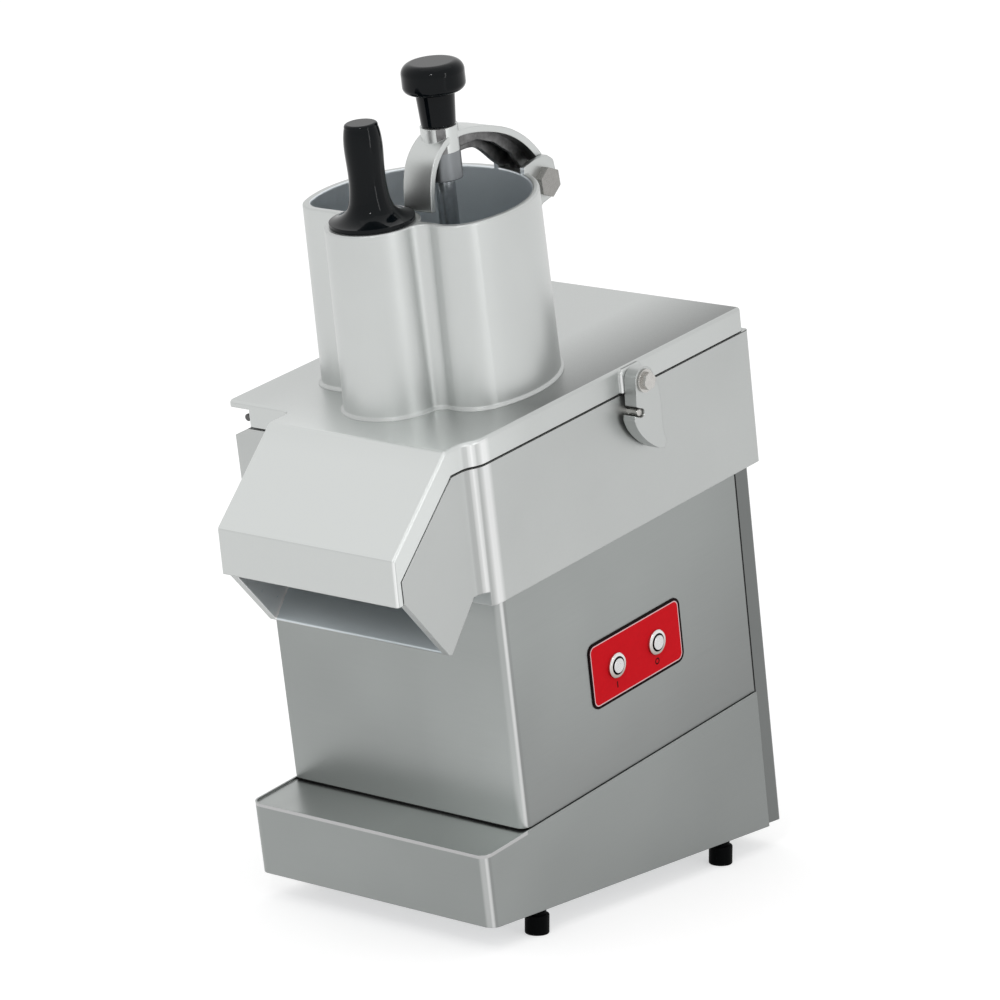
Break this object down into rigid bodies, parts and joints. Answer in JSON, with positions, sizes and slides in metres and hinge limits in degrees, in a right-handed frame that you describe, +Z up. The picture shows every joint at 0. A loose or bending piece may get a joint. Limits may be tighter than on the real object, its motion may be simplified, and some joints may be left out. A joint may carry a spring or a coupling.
{
  "type": "vegetable cutting machine",
  "caption": "Bench machine that slices vegetables: leaning motor base, chamber with discharge chute, hinged lid with D-shaped hopper, lever presser and feed tube with pestle.",
  "frame": {"origin": "centre of the footprint box on the ground under the feet", "axes": "+Z up, -Y towards the discharge chute, +X towards the latch and the buttons"},
  "size_m": [0.2788, 0.5002, 0.699],
  "materials": {
    "sheet_steel": "brushed",
    "cast_aluminium": "satin, lightly blasted",
    "bright_aluminium": "satin, turned",
    "steel": "plain",
    "blade_steel": "ground",
    "black_plastic": "gloss",
    "dark_plastic": "matt",
    "rubber": "matt",
    "red_plate": "gloss",
    "motor_paint": "satin",
    "zinc": "zinc plated",
    "cap_shell": "satin"
  },
  "bodies": {
    "machine": {"base_housing": "sheet_steel", "base_plate": "zinc", "feet": "rubber", "foot_studs": "steel", "motor_casing": "sheet_steel", "rear_cover": "sheet_steel", "rear_cover_screws": "steel", "cable_gland": "dark_plastic", "cutting_chamber": "cast_aluminium", "hinge_pin": "steel", "lid_pads": "rubber", "catch_pin": "steel", "bearing_housing": "cast_aluminium", "bearing_screws": "steel", "spindle_bearings": "steel", "spindle_seal": "rubber", "drive_belt": "rubber", "motor_body": "motor_paint", "motor_plate": "zinc", "motor_standoffs": "zinc", "motor_bolts": "steel", "control_plate": "red_plate", "start_bezel": "steel", "stop_bezel": "steel", "start_contact_block": "dark_plastic", "stop_contact_block": "dark_plastic", "control_box": "dark_plastic", "capacitor": "cap_shell", "lid_switch": "dark_plastic"},
    "lid": {"lid": "cast_aluminium", "hopper": "bright_aluminium", "presser_arm": "cast_aluminium", "arm_hinge_bolt": "steel", "arm_hinge_nut": "steel", "latch_washer": "steel", "latch_bolt": "steel", "switch_magnet": "steel"},
    "plunger": {"presser_plate": "cast_aluminium", "presser_rod": "steel", "presser_knob": "black_plastic"},
    "pestle": {"pestle": "black_plastic"},
    "latch": {"latch_hook": "cast_aluminium"},
    "start_button": {"start_button": "steel"},
    "stop_button": {"stop_button": "steel"},
    "drive": {"drive_shaft": "steel", "driven_pulley": "cast_aluminium", "ejector_disc": "cast_aluminium", "cutting_disc": "bright_aluminium", "disc_blades": "blade_steel"},
    "motor_rotor": {"motor_shaft": "steel", "motor_pulley": "steel"}
  },
  "joints": [
    {"name": "lid_hinge", "type": "hinge", "parent": "machine", "child": "lid", "pos_m": [-0.1264, 0.00262, 0.42959], "axis": [0, -0.9861, -0.1663], "range_deg": [0, 90]},
    {"name": "latch_swing", "type": "hinge", "parent": "lid", "child": "latch", "pos_m": [0.1276, 0.03154, 0.43852], "axis": [1, 0, 0], "range_deg": [0, 70]},
    {"name": "presser_slide", "type": "slide", "parent": "lid", "child": "plunger", "axis": [0, -0.1663, 0.9861], "range_m": [0, 0.135]},
    {"name": "pestle_lift", "type": "slide", "parent": "lid", "child": "pestle", "axis": [0, -0.1663, 0.9861], "range_m": [0, 0.15]},
    {"name": "start_press", "type": "slide", "parent": "machine", "child": "start_button", "axis": [-1, 0, 0], "range_m": [0, 0.003], "stiffness_N_per_m": 500, "springref_m": -0.002},
    {"name": "stop_press", "type": "slide", "parent": "machine", "child": "stop_button", "axis": [-1, 0, 0], "range_m": [0, 0.003], "stiffness_N_per_m": 500, "springref_m": -0.002},
    {"name": "spindle_spin", "type": "hinge", "parent": "machine", "child": "drive", "pos_m": [-0.0069, -0.03274, 0.30549], "axis": [0, -0.1663, 0.9861], "continuous": true},
    {"name": "motor_spin", "type": "hinge", "parent": "machine", "child": "motor_rotor", "pos_m": [-0.0069, 0.13483, 0.28303], "axis": [0, -0.1663, 0.9861], "continuous": true}
  ],
  "couplings": [
    {"joint": "motor_spin", "follows": "spindle_spin", "ratio": 2.5}
  ]
}
